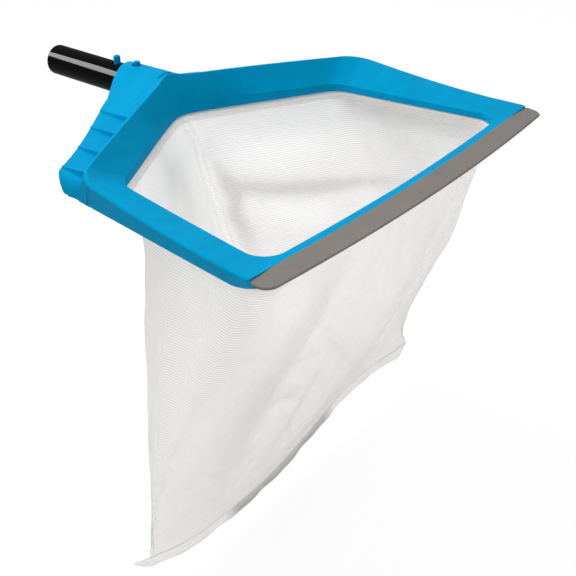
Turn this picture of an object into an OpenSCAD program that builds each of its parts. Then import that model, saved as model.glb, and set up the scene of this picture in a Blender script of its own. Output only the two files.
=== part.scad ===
// Leaf skimmer net: a moulded five-sided rim with a soft scraper lip, a deep
// net bag clamped under the rim, and a tube stub that takes a pool pole.
// Frame: origin on the tube's axis at its free end, +Y towards the lip,
// +Z up out of the bag's mouth. Millimetres.

/* [Handle tube] */
// Outer diameter where the pole slides on
tube_d = 28.6; // [26:0.1:32]
// Wall of the tube
tube_wall = 1.8; // [1.4:0.1:2.2]
// Length of the stretch that the pole slides over
spigot_len = 79; // [60:1:79]
// How much thicker in diameter the tube's root is than that stretch
root_swell = 0.4; // [0.3:0.05:0.6]
// How deep the tube goes into its socket
socket_depth = 42; // [40:0.5:44]

/* [Snap clip] */
// Diameter of a button
button_d = 6.4; // [5.6:0.1:7]
// How far a button stands out of the pole's stretch at rest
button_proud = 7.3; // [6:0.1:8]
// Distance from the front button to the rear one
button_pitch = 26.5; // [24:0.5:28]
// Distance from the front button to the socket's mouth
button_lead = 14.5; // [12:0.5:16]
// Thickness of a spring arm
arm_t = 1.6; // [1.2:0.1:2]
// Width of a spring arm
arm_w = 9; // [7.5:0.5:10]

/* [Mouth of the bag] */
// Width between the mouth's front corners
mouth_front_w = 329; // [300:1:350]
// Width between the mouth's back corners
mouth_back_w = 282; // [262:1:300]
// Distance from the mouth's back point to its front bar, at the middle
mouth_len = 245; // [225:1:265]
// How far the back corners lie in front of the back point
mouth_back_y = 77.5; // [66:0.5:88]
// Bow radius of the front bar and the lip's back border
bow_r = 2400; // [2200:50:4000]

/* [Rim] */
// Wall of the moulding
rim_wall = 2.6; // [2.2:0.1:3]
// Width across the ridge at the front
ridge_front_w = 389; // [380:1:396]
// Width across the ridge at the back corners
ridge_back_w = 360; // [352:1:370]
// How far the ridge's back corners lie in front of the mouth's back point
ridge_back_y = 73; // [66:0.5:76]
// Height of the ridge over the net's edge at the back
ridge_back_h = 32; // [28:0.5:36]
// Height of the ridge over the net's edge at the front corners
ridge_front_h = 9.6; // [8.4:0.1:12]
// Depth of the skirt under the net's edge
skirt_drop = 5; // [4.9:0.1:8]
// Width of the flat top of the ridge
ridge_flat = 3.4; // [2.4:0.2:4]

/* [Wings] */
// Depth of the pockets between the ribs
pocket_depth = 6; // [3:0.5:8]
// Thickness of a rib
rib_t = 1.8; // [1.2:0.2:3]
// Height of the wing's edge over the net's edge
wing_h = 16; // [14:0.5:19]
// How far the wing's edge bows out over its chord
wing_bow = 3.9; // [0:0.1:6]

/* [Socket housing] */
// Distance from the mouth's back point to the socket's mouth
socket_out = 60; // [58:0.5:64]
// Wall around the tube
socket_wall = 3.5; // [3:0.1:4.2]
// Height of the tube's axis over the net's edge
axis_h = 18; // [17.5:0.1:20]

/* [Scraper lip] */
// Width of the lip from its back border to its edge
lip_w = 20.8; // [19:0.2:24]
// Length of the lip from tip to tip
lip_len = 387.5; // [382:0.5:390]
// Bow radius of the lip's edge
lip_bow_r = 2100; // [1800:50:2400]
// Thickness of the lip's blade at its edge
lip_edge_t = 2; // [1.4:0.1:2.4]

/* [Clamp ring] */
// Thickness of the ring under the rim
ring_t = 2.2; // [1.8:0.1:2.2]
// Width of the ring's band
ring_w = 8.5; // [6:0.5:9]
// Shank diameter of a ring screw
screw_d = 2.7; // [2.4:0.1:3]
// Length of a ring screw under its head
screw_len = 6.5; // [5.5:0.1:6.5]

/* [Net bag] */
// Depth of the bag from the net's edge to its bottom seam
bag_depth = 315; // [220:5:400]
// Length of the bottom seam
seam_w = 428; // [380:2:450]
// How far the bottom seam lies in front of the mouth's back point
seam_y = 133; // [110:1:150]
// Thickness of the net panels
net_t = 1.2; // [0.8:0.1:1.6]
// Diameter of the cord in the hem
cord_d = 3.4; // [2.8:0.1:3.6]

/* [Hidden] */

blue = [0, 0.6, 0.8];
grey = [0.53, 0.5, 0.46];
black = [0.06, 0.06, 0.06];
net_white = [0.93, 0.93, 0.92];
steel = [0.75, 0.76, 0.78];

fine = 96;         // facets of a bore or pin
touch = 0.05;      // gap between pieces that touch
slide = 0.1;       // gap of the tube in its socket
over = 1;          // how far a cutter runs past what it cuts

// ---- places along the handle, in the part's own frame
tube_r = tube_d / 2;
root_r = tube_r + root_swell / 2;
bore_r = tube_r - tube_wall;
front_button_y = spigot_len + button_d;
socket_y = front_button_y + button_lead;
rear_button_y = front_button_y + button_pitch;
tube_len = socket_y + socket_depth;
mouth_y = socket_y + socket_out;      // the mouth's back point
barrel_r = root_r + slide + socket_wall;

// ---- plan of the rim: loops start at the back point and run round +X
arc_steps = 12;
arm_steps = 5;
front_steps = 8;
mouth_round = 10;      // how softly the mouth's back point is rounded
ridge_round = 8;
mouth_r = [25, 18];    // corner radii of the mouth, back and front
ridge_r = [33, 3.5];
base_r = [8, 21];
wing_r = 12;
wall_out = 13.4;       // from the mouth's front edge to the bar's front wall
skirt_lean = 3.8;      // how far the skirt's foot lies inside the ridge, in front
skirt_lean_back = 10.2; // the same at the back end of an arm
arm_join = 78;         // where the wing's edge has run out into the arm's foot
ridge_back = 15.8;     // the ridge's own back point behind the mouth's

rib_x = [63, 94, 128, 161];
rib_side = 0.4;        // how far a rib's side leans
wing_corner = [172.5, 38.5];
wing_heading = 88;     // direction of the wing's outer side, degrees
wing_steps = 6;        // steps of the wing's own corner arc
fall_steps = 9;        // steps over which the wing's edge falls to the skirt's foot

front_wall_y = mouth_len + wall_out;

function bow(x) = -x * x / (2 * bow_r);
function mid(a, b, t) = a + (b - a) * t;
function heading(p, q) = atan2(q[1] - p[1], q[0] - p[0]);
function side_of(a) = [sin(a), -cos(a)];
function along(a) = [cos(a), sin(a)];
// Arc that rounds corner p between the directions h0 and h1
function corner(p, h0, h1, r, n) =
    let (c = p - r * tan((h1 - h0) / 2) * along(h0) - r * side_of(h0))
    [for (i = [0:n]) c + r * side_of(mid(h0, h1, i / n))];
function mirrored(half) = concat(half, [for (i = [len(half) - 2:-1:1]) [-half[i][0], half[i][1]]]);
function last(v) = v[len(v) - 1];

// Places across the wing, the same on every outer loop
rib_places = [for (r = rib_x, d = [-rib_t / 2 - rib_side, -rib_t / 2, rib_t / 2, rib_t / 2 + rib_side])
    if (d > 0 || r > rib_x[0]) r + d];
bay_places = [for (i = [1:len(rib_x) - 1]) (rib_x[i - 1] + rib_x[i]) / 2];
deck_places = [0, 8, 14, 22, 31, 40, 47, 54, 60];
function count_below(v, x) = len([for (a = v) if (a < x) a]);
function sorted(v) = [for (k = [0:len(v) - 1]) [for (a = v) if (count_below(v, a) == k) a][0]];
places = sorted(concat(deck_places, rib_places, bay_places));

// Half loop through a back line y(x) = y0 + slope * sqrt(x^2 + round^2), a back
// corner, a front corner and the bowed front
function half_loop(y0, b, f, round, r, xs, arcs) =
    let (
        slope = (b[1] - y0) / b[0],
        h0 = atan(slope),
        h1 = heading(b, f),
        cb = corner(b, h0, h1, r[0], arcs),
        cf = corner(f, h1, 180, r[1], arcs),
        reach = min(1, cb[0][0] / last(places) * 0.985)
    )
    concat(
        [for (x = xs) [x * reach, y0 + slope * norm([x * reach, round])]],
        cb,
        [for (i = [1:arm_steps - 1]) mid(last(cb), cf[0], i / arm_steps)],
        [for (p = cf) [p[0], p[1] + bow(p[0]) - bow(f[0])]],
        [for (i = [1:front_steps]) let (x = last(cf)[0] * (1 - i / front_steps)) [x, f[1] + bow(x) - bow(f[0])]]
    );

mouth_b = [mouth_back_w / 2, mouth_back_y];
mouth_f = [mouth_front_w / 2, mouth_len + bow(mouth_front_w / 2)];
ridge_b = [ridge_back_w / 2, ridge_back_y];
ridge_f = [ridge_front_w / 2, front_wall_y + bow(ridge_front_w / 2)];

inner = half_loop(0, mouth_b, mouth_f, mouth_round, mouth_r, places, arc_steps);
ridge = half_loop(-ridge_back, ridge_b, ridge_f, ridge_round, ridge_r, places, arc_steps);
n_back = len(places);
n_arm = n_back + arc_steps + 1;

// Edge of the wing: flat across the socket's mouth, then a bowed chord, a corner
// and a run along the arm that ends at the skirt's foot
mouth_half = 18;
knee = [41, 13.5 - socket_out];        // where the deck's edge becomes the wing's
function wing_y(x) =
    let (u = (x - knee[0]) / (wing_corner[0] - knee[0]))
    x <= mouth_half ? -socket_out
    : x < knee[0] ? mid(-socket_out, knee[1], (x - mouth_half) / (knee[0] - mouth_half))
    : mid(knee[1], wing_corner[1], u) + wing_bow * sin(180 * pow(u, 1.5));
wing_slope = (wing_corner[1] - wing_y(rib_x[3])) / (wing_corner[0] - rib_x[3]);
wing_gap = 0.5;
foot_inset = 2.2;
foot_in = [8, 3];                      // how far the foot's corner lies inside the wing's
foot_f = [ridge_f[0] - skirt_lean, front_wall_y + bow(ridge_f[0] - skirt_lean)];
foot_b = [ridge_b[0] - skirt_lean_back, ridge_back_y];
foot_front = corner(foot_f, heading(foot_b, foot_f), 180, base_r[1], arc_steps);
function on_arm(y) = mid(foot_b, foot_f, (y - foot_b[1]) / (foot_f[1] - foot_b[1]));
wing_arc = corner(wing_corner, atan(wing_slope), wing_heading, wing_r, wing_steps);
foot_arc = corner(wing_corner - foot_in, atan(wing_slope), heading(foot_b, foot_f), base_r[0], wing_steps);
joined = [for (i = [wing_steps + 1:arc_steps])
    let (t = (i - wing_steps) / (fall_steps - wing_steps))
    t <= 1 ? mid(last(foot_arc), on_arm(arm_join), t) : on_arm(mid(arm_join, ridge[n_arm - 1][1], (t - 1) / 1.1))];
wing = concat(
    [for (x = places) [x, wing_y(x)]],
    wing_arc,
    [for (i = [wing_steps + 1:arc_steps]) i < fall_steps ? joined[i - wing_steps - 1] + [0.7, 0]
        : wall_top(n_back + i)],
    [for (i = [n_arm:len(ridge) - 1]) wall_top(i)]
);
foot = concat(
    [for (x = places) [x - foot_in[0] * pow(x / wing_corner[0], 4), wing_y(x) + foot_inset]],
    foot_arc,
    joined,
    [for (i = [1:arm_steps - 1]) mid(last(joined), foot_front[0], i / arm_steps)],
    [for (p = foot_front) [p[0], p[1] + bow(p[0]) - bow(foot_f[0])]],
    [for (i = [1:front_steps]) let (x = last(foot_front)[0] * (1 - i / front_steps)) [x, front_wall_y + bow(x)]]
);
function unit(v) = v / norm(v);
function wall_top(i) = ridge[i] + wing_gap * unit(ridge[i] - inner[i]);

// Heights over the net's edge
front_dip = 2.2;       // how much lower the front bar is than the front corners
hump = 4;              // the ridge rises by this over the socket
hump_w = 12;
wall_front_h = 5;      // height of the mouth's own upright wall, front and back
wall_back_h = 10.3;
function ridge_z(i) =
    let (
        p = ridge[i],
        u = (p[1] - ridge[0][1]) / (ridge_f[1] - ridge[0][1]),
        w = min(1, max(0, u)),
        dip = i >= n_arm + arm_steps - 1 ? front_dip * (1 - pow(p[0] / ridge_f[0], 6)) : 0,
        bump = i < n_back ? hump * exp(-pow(p[0] / hump_w, 2)) : 0
    )
    mid(ridge_front_h, ridge_back_h, 0.5 + 0.5 * cos(180 * pow(w, 0.8))) - dip + bump;
function wall_z(i) =
    let (u = min(1, max(0, inner[i][1] / mouth_len)))
    mid(wall_front_h, wall_back_h, pow(1 - u, 3));
function rib_near(x) = min([for (r = rib_x) abs(x - r)]);
function ease(t) = 0.5 - 0.5 * cos(180 * min(1, max(0, t)));
function ramp(x, x0, x1) = min(1, max(0, (x - x0) / (x1 - x0)));
fall_end = n_back + fall_steps;        // first place with a plain arm wall
function pocket(i) =
    i >= fall_end ? 0
    : i >= n_back ? pocket_depth * (1 - pow((i - n_back) / fall_steps, 2))
    : places[i] <= rib_x[0] ? 0
    : pocket_depth * min(1, max(0, (rib_near(places[i]) - rib_t / 2) / rib_side));
deck_step = 0.8;       // how far the arm's wall starts under the ridge
deck_drop = 1.6;       // how far the deck lies under the ridge beside the socket
tent_top = 14;         // half width of that deck
tent_foot = [40, 60];  // where it has come down to the wing, at the edge and at the ridge
rib_rise = 2.5;        // how much higher a rib is at the ridge than at the edge
// Height of the wing's edge, and of the deck where it meets the ridge's wall
function edge_z(i) =
    i >= fall_end ? ridge_z(i) - deck_step - wing_gap
    : i >= n_back ? mid(wing_h, 1 - skirt_drop, ease((i - n_back) / fall_steps))
    : mid(ridge_z(i) - deck_drop, wing_h, ramp(places[i], tent_top, tent_foot[0]));
function deck_z(i) =
    i >= fall_end ? ridge_z(i) - deck_step
    : i >= n_back ? edge_z(i) + rib_rise * (1 - (i - n_back) / fall_steps) - pocket(i)
    : mid(ridge_z(i) - deck_step, wing_h + rib_rise, ramp(places[i], tent_top, tent_foot[1])) - pocket(i);
// Where the deck meets the ridge's wall: the wall leans in as it nears the arm
function deck_at(i) =
    let (e = unit(ridge[i] - inner[i]))
    i >= fall_end ? ridge[i] + e * wing_gap * 0.7
    : i < n_back ? ridge[i] + e * 0.4
    : mid(ridge[i] + e * 0.4, foot[i], (i - n_back) / fall_steps * (ridge_z(i) - deck_z(i)) / (ridge_z(i) + skirt_drop));

// One section of the moulding, from the mouth's edge over the ridge to the
// skirt's foot and back along the inside
lean_in = 0.8;
function section(i) =
    let (
        e = unit(ridge[i] - inner[i]),
        f = unit(foot[i] - inner[i]),
        zr = ridge_z(i),
        zt = wall_z(i),
        zk = deck_z(i),
        zw = edge_z(i) - 0.15 * pocket(i),
        k = deck_at(i),
        flat = i >= n_arm + arm_steps - 1 ? ridge_flat * 0.7 : ridge_flat
    )
    [
        [inner[i], 0],
        [inner[i] + e * lean_in, zt],
        [ridge[i] - e * flat, zr],
        [ridge[i] - e * flat * 0.3, zr],
        [ridge[i], zr - deck_step * 0.6],
        [k, zk - 0.1],
        [wing[i], zw],
        [foot[i], -skirt_drop],
        [foot[i] - f * rim_wall, -skirt_drop],
        [wing[i] - f * (rim_wall + 0.6), zw - rim_wall],
        [k - e * rim_wall, zk - rim_wall],
        [ridge[i] - e * (flat + 0.8), zr - rim_wall * 1.15],
        [inner[i] + e * (lean_in + rim_wall), zt - rim_wall * 0.5],
        [inner[i] + e * rim_wall, 0]
    ];

function flip(p) = [-p[0][0], p[0][1], p[1]];
function keep(p) = [p[0][0], p[0][1], p[1]];
n_half = len(inner);
rim_rings = concat(
    [for (i = [0:n_half - 1]) [for (p = section(i)) keep(p)]],
    [for (i = [n_half - 2:-1:1]) [for (p = section(i)) flip(p)]]
);

// Two triangles between points a, b of one ring and c, d of the next. The second
// half of a ring is its inner side: its quads are cut the same way as the outer's,
// so that the wall keeps its thickness where the surface twists
function quad(a, b, c, d, outer) = outer ? [[a, c, d], [a, d, b]] : [[a, c, b], [b, c, d]];
function side_faces(i, next, m) = [for (j = [0:m - 1])
    let (k = (j + 1) % m)
    each quad(i * m + j, i * m + k, next * m + j, next * m + k, j < m / 2)];

// Closed sweep: rings of points joined into one solid, end to start
module loop_solid(rings) {
    n = len(rings);
    polyhedron(
        points = [for (r = rings, p = r) p],
        faces = [for (i = [0:n - 1]) each side_faces(i, (i + 1) % n, len(rings[0]))]
    );
}

// Open sweep with flat ends
module run_solid(rings) {
    n = len(rings);
    m = len(rings[0]);
    polyhedron(
        points = [for (r = rings, p = r) p],
        faces = concat(
            [for (i = [0:n - 2]) each side_faces(i, i + 1, m)],
            [[for (j = [0:m - 1]) j], [for (j = [m - 1:-1:0]) (n - 1) * m + j]]
        )
    );
}

// Puts what is drawn over the net's edge, from the mouth's back point, in place
module at_mouth() {
    translate([0, mouth_y, -axis_h]) children();
}

// Section drawn in [y, z] and carried along the front bow
module bowed(half_w) {
    turn = asin(half_w / bow_r);
    translate([0, mouth_len - bow_r, 0])
        rotate([0, 0, 90 - turn])
            rotate_extrude(angle = 2 * turn, $fn = 1080)
                translate([bow_r - mouth_len, 0])
                    children();
}

// ---- scraper lip and its seat
lip_back = mouth_len + 10.5;          // the lip's back border, at the middle
lip_front = lip_back + lip_w;
seat_z = 6.2;                          // top of the seat under the lip
lip_skin = 1.8;                        // thickness of the lip over its seat
lip_top = seat_z + touch + lip_skin;
tongue_y = front_wall_y + 8;           // front of the rim's tongue in the lip
tongue_t = 3.2;
hook_t = 1.7;                          // thickness of the lip under the tongue
hook_half = 168;                       // half length of the tongue and the hook
kink_x = 160;                          // where the back border turns to the tip
tip_in = 1.8;                          // a tip's back corner, in from its end
tip_back = mouth_len + 5.4;            // and its place along Y
tip_rise = 2.4;                        // how far its chamfer runs along Y
tip_round = 10;
nose = 1.2;                            // length of the blade's chamfered edge

// Back and front borders of the lip at x, and the places of its cross-sections
lip_half = lip_len / 2;
function lip_y(x) = lip_front - x * x / (2 * lip_bow_r);
function lip_f(x) =
    let (in = lip_half - tip_round)
    x <= in ? lip_y(x) : lip_y(in) - tip_round + sqrt(max(0, tip_round * tip_round - pow(x - in, 2)));
function lip_b(x) =
    x <= kink_x ? lip_back + bow(x)
    : x <= lip_half - tip_in ? mid(lip_back + bow(kink_x), tip_back, (x - kink_x) / (lip_half - tip_in - kink_x))
    : tip_back + tip_rise * (x - lip_half + tip_in) / tip_in;
lip_x = concat(
    [for (x = [0:20:kink_x]) x],
    [(hook_half + lip_half - tip_round) / 2, lip_half - tip_round],
    [for (a = [20, 38, 54, 68, 80]) lip_half - tip_round + tip_round * sin(a)],
    [lip_half]
);
hook_x = concat([for (x = lip_x) if (x <= kink_x) x], [hook_half]);
function both_ways(v) = concat([for (i = [len(v) - 1:-1:1]) -v[i]], v);

module lip_outline(low, high, grow) {
    translate([0, 0, low])
        linear_extrude(high - low)
            polygon(concat(
                [for (x = both_ways(lip_x)) [x, lip_b(abs(x)) - grow]],
                [for (x = both_ways(lip_x)) [-x, lip_f(abs(x))]]
            ));
}

function blade_ring(x) =
    let (
        b = lip_b(abs(x)),
        f = lip_f(abs(x)),
        t = min(tongue_y + bow(x) + 3 * touch, mid(b, f, 0.6)),
        n = min(nose, (f - b) / 5),
        top = lip_top - 0.6
    )
    [
        [x, b, seat_z + touch],
        [x, b, lip_top],
        [x, f - n, top],
        [x, f, top - lip_edge_t / 2],
        [x, f - n, top - lip_edge_t],
        [x, t, top - lip_edge_t],
        [x, t, seat_z + touch]
    ];
function hook_ring(x) =
    let (
        t = tongue_y + bow(x) + touch,
        w = front_wall_y + bow(x) + wing_gap + touch,
        low = seat_z - tongue_t - touch,
        high = lip_top - 0.6 - lip_edge_t / 2
    )
    [[x, t, high], [x, t + 3.3, high], [x, t + 2.4, low - hook_t], [x, w, low - hook_t], [x, w, low], [x, t, low]];

module scraper_lip() {
    color(grey) at_mouth() {
        run_solid([for (x = both_ways(lip_x)) blade_ring(-x)]);
        run_solid([for (x = both_ways(hook_x)) hook_ring(-x)]);
    }
}

// ---- rim with its socket
boss_out = 12;         // screw's distance from the mouth's edge
boss_r = 3.6;
pilot_d = screw_d + 2 * touch;
hem_t = 0.7;
ring_top = -hem_t - 2 * touch;
ring_low = ring_top - ring_t;
screw_at = [6, n_back - 6, n_back + arc_steps / 2, n_arm + 3, n_arm + arm_steps + 5];

function inward(i) =
    let (a = inner[max(0, i - 1)], b = inner[min(n_half - 1, i + 1)])
    i == 0 ? [0, -1] : i == n_half - 1 ? [0, 1] : side_of(heading(a, b));
function off(i, u) = inner[i] + inward(i) * u;
// Height of the moulding's upper face over a place u out from the mouth's edge
function face_z(i, u) =
    let (w = (ridge[i] - inner[i]) * inward(i) - ridge_flat - lean_in)
    mid(wall_z(i), ridge_z(i), min(1, (u - lean_in) / w));
function boss_top(i) = face_z(i, boss_out - boss_r) - rim_wall * 0.4;

// Places on the mouth's loop without the close ones beside the ribs
plain = [for (i = [0:n_half - 1]) if (i >= n_back ? (i - n_back) % 2 == 0 || i == n_half - 1 : rib_near(places[i]) > rib_t) i];

module both_at(p) {
    for (s = [-1, 1])
        translate([s * p[0], p[1], 0])
            children();
}

module socket_axis(y0, y1, r) {
    translate([0, y0 - mouth_y, axis_h])
        rotate([-90, 0, 0])
            cylinder(r = r, h = y1 - y0, $fn = fine);
}

// Upright slot for a button, long enough for the arm's swing
swing_room = 1.9;
hole_r = button_d / 2 + 0.45;
module button_slot(y, z0, z1) {
    translate([0, y, z0]) {
        cylinder(r = hole_r, h = z1 - z0, $fn = fine);
        translate([0, -swing_room, 0])
            cylinder(r = hole_r, h = z1 - z0, $fn = fine);
        translate([-hole_r, -swing_room, 0])
            cube([2 * hole_r, swing_room, z1 - z0]);
    }
}

barrel_end = mouth_y - ridge_back + 3;
module rim_frame() {
    color(blue) at_mouth() difference() {
        union() {
            difference() {
                loop_solid(rim_rings);
                lip_outline(seat_z, ridge_front_h + 3 * over, 0.15);
            }
            intersection() {
                bowed(hook_half) translate([front_wall_y - 1.2, seat_z - tongue_t])
                    square([tongue_y - front_wall_y + 1.2, tongue_t]);
                translate([-hook_half, front_wall_y - 40, 0])
                    cube([2 * hook_half, 60, seat_z + over]);
            }
            socket_axis(socket_y - 1.6, barrel_end, barrel_r);
            for (i = screw_at)
                both_at(off(i, boss_out))
                    translate([0, 0, ring_top + touch])
                        cylinder(r = boss_r, h = boss_top(i) - ring_top, $fn = 24);
        }
        socket_axis(socket_y - 3, tube_len + 1.2, root_r + slide);
        for (i = screw_at)
            both_at(off(i, boss_out))
                translate([0, 0, ring_low - over])
                    cylinder(d = pilot_d, h = screw_len + ring_t + over, $fn = 24);
        translate([0, -mouth_y, axis_h]) button_slot(rear_button_y, 0, barrel_r + over);
        translate([0, -mouth_y, axis_h]) button_slot(rear_button_y, -barrel_r - over, 0);
    }
}

// ---- clamp ring
ear_r = 5.2;
ring_in = 1.5;
function loop_off(u) = mirrored([for (i = plain) off(i, u)]);

module clamp_ring() {
    color(blue) at_mouth() translate([0, 0, ring_low]) difference() {
        union() {
            linear_extrude(ring_t) polygon(loop_off(ring_in + ring_w));
            for (i = screw_at)
                both_at(off(i, boss_out)) cylinder(r = ear_r, h = ring_t, $fn = 32);
        }
        translate([0, 0, -over]) linear_extrude(ring_t + 2 * over) polygon(loop_off(ring_in));
        for (i = screw_at)
            both_at(off(i, boss_out))
                translate([0, 0, -over])
                    cylinder(d = screw_d + 0.5, h = ring_t + 2 * over, $fn = 24);
    }
}

head_r = 2.9;
head_h = 1.7;
module ring_screws() {
    color(steel) at_mouth() for (i = screw_at) both_at(off(i, boss_out)) {
        translate([0, 0, ring_low - touch - head_h])
            cylinder(r1 = head_r * 0.8, r2 = head_r, h = head_h, $fn = 32);
        translate([0, 0, ring_low - touch - 0.01])
            cylinder(d = screw_d, h = screw_len, $fn = 24);
    }
}

// ---- tube
module handle_tube() {
    edge = 0.8;
    color(black) difference() {
        rotate([-90, 0, 0]) union() {
            cylinder(r = tube_r, h = spigot_len, $fn = fine);
            translate([0, 0, spigot_len]) cylinder(r = root_r, h = tube_len - spigot_len, $fn = fine);
        }
        rotate([-90, 0, 0]) {
            translate([0, 0, -over]) cylinder(r = bore_r, h = tube_len + 2 * over, $fn = fine);
            cylinder(r1 = bore_r + edge, r2 = bore_r, h = edge, $fn = fine);
        }
        for (y = [front_button_y, rear_button_y]) {
            button_slot(y, 0, root_r + over);
            button_slot(y, -root_r - over, 0);
        }
    }
}

// ---- snap clip: a bend and two sprung arms that pivot where they leave it
knuckle_r = 2.2;
bend_mid_r = 9.1;
bend_t = 1.8;
bend_y = tube_len - 11;
pivot_y = bend_y + bend_mid_r * cos(60);
pivot_z = bend_mid_r * sin(60);
arm_z = 11.2;          // outer face of an arm where it lies along the tube
arm_free = 7;          // arm beyond the front button
button_top = tube_r + button_proud;

module clip_bend() {
    color(blue) difference() {
        translate([-arm_w / 2, bend_y, 0]) rotate([90, 0, 90]) linear_extrude(arm_w) intersection() {
            difference() {
                circle(r = bend_mid_r + bend_t / 2, $fn = fine);
                circle(r = bend_mid_r - bend_t / 2, $fn = fine);
            }
            polygon([[0, 0], [20 * cos(60), 20 * sin(60)], [20, 0], [20 * cos(60), -20 * sin(60)]]);
        }
        for (s = [-1, 1])
            translate([-arm_w / 2 - over, pivot_y, s * pivot_z])
                rotate([0, 90, 0]) cylinder(r = knuckle_r + touch, h = arm_w + 2 * over, $fn = fine);
    }
}

module button_arm() {
    rise_y = pivot_y - 14;
    color(blue) {
        translate([-arm_w / 2, pivot_y, pivot_z]) rotate([0, 90, 0])
            cylinder(r = knuckle_r, h = arm_w, $fn = fine);
        translate([-arm_w / 2, 0, 0]) rotate([90, 0, 90]) linear_extrude(arm_w) polygon([
            [pivot_y, pivot_z + arm_t / 2],
            [rise_y, arm_z],
            [front_button_y - arm_free, arm_z],
            [front_button_y - arm_free, arm_z - arm_t],
            [rise_y, arm_z - arm_t],
            [pivot_y, pivot_z - arm_t / 2]
        ]);
        for (y = [front_button_y, rear_button_y]) translate([0, y, arm_z - arm_t / 2]) {
            cylinder(d = button_d, h = button_top - arm_z + arm_t / 2 - 0.8, $fn = fine);
            translate([0, 0, button_top - arm_z + arm_t / 2 - 0.8])
                cylinder(d1 = button_d, d2 = button_d - 1.6, h = 0.8, $fn = fine);
        }
    }
}

module top_button_arm() {
    button_arm();
}

module bottom_button_arm() {
    mirror([0, 0, 1]) button_arm();
}

// ---- net bag: panels hung between the mouth and the bottom seam
bag_out = 0.2;         // the net's outer face, out from the mouth's edge
bag_top = -hem_t - 2 * touch;
bag_low = -bag_depth;
mid_b = n_back + arc_steps / 2;
mid_f = n_arm + arm_steps - 1 + arc_steps / 2;
coarse_back = [0, 2, 4, 6, 8, 12, 17, 22, n_back - 1, n_back + 3, mid_b];
coarse_arm = [mid_b, mid_b + 3, n_arm, n_arm + 2, n_arm + 4, mid_f - 3, mid_f];
coarse_front = [mid_f, mid_f + 3, mid_f + 6, mid_f + 8, mid_f + 10, mid_f + 12, n_half - 1];

// How the cloth hangs off the straight line from the mouth to the seam, at its most
back_lean = 8;         // forwards, along the back seam
back_swell = 6;        // further forwards, in the middle of each back panel
corner_lean = 6;       // forwards, along the back fold
side_pull = 5;         // inwards, along the back fold
front_pull = 3;        // backwards, along the front fold
front_lean = 4;        // forwards, in the middle of the front
front_swell = 3;       // further forwards, in the middle of each half of the front
levels = [0, 0.06, 0.14, 0.3, 0.5, 0.7, 0.86, 1];
function hang(v) = v <= 0 || v >= 1 ? 0 : pow(sin(180 * v), 0.4);
function bump(t) = pow(sin(180 * t), 2);

// One ring of a panel: down its outer side and up its inner side
panel_gap = 0.3;       // gap between panels at the folds
function hung(s, top, foot, v, lean) = [
    s * (mid(top[0], foot[0], v) + lean[0] * hang(v)),
    mid(top[1], foot[1], v) + lean[1] * hang(v),
    mid(bag_top, bag_low, v)
];
function panel_ring(i, s, foot_in, foot_out, lean, pull = 0) =
    let (
        d = inward(i),
        shift = pull * [-d[1], d[0]],
        a = off(i, bag_out) + shift,
        b = off(i, bag_out - net_t) + shift,
        n = len(levels)
    )
    concat(
        [for (v = levels) hung(s, a, foot_out, v, lean)],
        [for (k = [n - 1:-1:0]) hung(s, b, foot_in, levels[k], lean)]
    );
function reach_of(v, k) = (inner[v[k]][0] + k * 0.001) / inner[last(v)][0];
function back_rings(s) = [for (k = [0:len(coarse_back) - 1])
    let (
        u = reach_of(coarse_back, k),
        x = seam_w / 2 * u + (k == 0 ? touch : 0),
        lean = [-side_pull * (k == 0 ? 0 : u), mid(back_lean, corner_lean, u) + back_swell * bump(u)]
    )
    panel_ring(coarse_back[k], s, [x, seam_y - touch], [x, seam_y - net_t], lean)];
side_foot = seam_w / 2 + net_t + panel_gap;
function side_rings(s) = [for (k = [0:len(coarse_arm) - 1])
    let (
        t = k / (len(coarse_arm) - 1),
        y = seam_y + mid(-net_t, net_t, t),
        pull = t == 0 ? panel_gap : t == 1 ? -panel_gap : 0,
        lean = [-side_pull * (1 - t), mid(corner_lean, -front_pull, t)]
    )
    panel_ring(coarse_arm[k], s, [side_foot, y], [side_foot + net_t, y], lean, pull)];
function front_ring(k, s) =
    let (
        u = inner[coarse_front[k]][0] / inner[coarse_front[0]][0],
        x = seam_w / 2 * u,
        lean = [0, mid(front_lean, -front_pull, u) + front_swell * bump(u)]
    )
    panel_ring(coarse_front[k], s, [x, seam_y + touch], [x, seam_y + net_t], lean);
front_n = len(coarse_front);

// Open sweep of a curved strip, whose ends are closed from its outer to its inner side
module strip_solid(rings) {
    n = len(rings);
    m = len(rings[0]);
    ends = [for (j = [0:m / 2 - 2]) each [[j, j + 1, m - 2 - j], [j, m - 2 - j, m - 1 - j]]];
    polyhedron(
        points = [for (r = rings, p = r) p],
        faces = concat(
            [for (i = [0:n - 2]) each side_faces(i, i + 1, m)],
            ends,
            [for (f = ends) [for (k = [2:-1:0]) (n - 1) * m + f[k]]]
        )
    );
}

module bag_front() {
    color(net_white) at_mouth() strip_solid(concat(
        [for (k = [0:front_n - 1]) front_ring(k, 1)],
        [for (k = [front_n - 2:-1:0]) front_ring(k, -1)]
    ));
}

module bag_side() {
    color(net_white) at_mouth() strip_solid(side_rings(1));
}

module bag_back() {
    color(net_white) at_mouth() strip_solid(back_rings(1));
}

module bag_left_side() {
    mirror([1, 0, 0]) bag_side();
}

module bag_right_side() {
    bag_side();
}

module bag_back_left() {
    mirror([1, 0, 0]) bag_back();
}

module bag_back_right() {
    bag_back();
}

module bag_hem() {
    color(net_white) at_mouth() translate([0, 0, -hem_t - touch]) linear_extrude(hem_t) difference() {
        polygon(loop_off(boss_out - boss_r - 0.4));
        polygon(loop_off(bag_out - net_t));
    }
}

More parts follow.
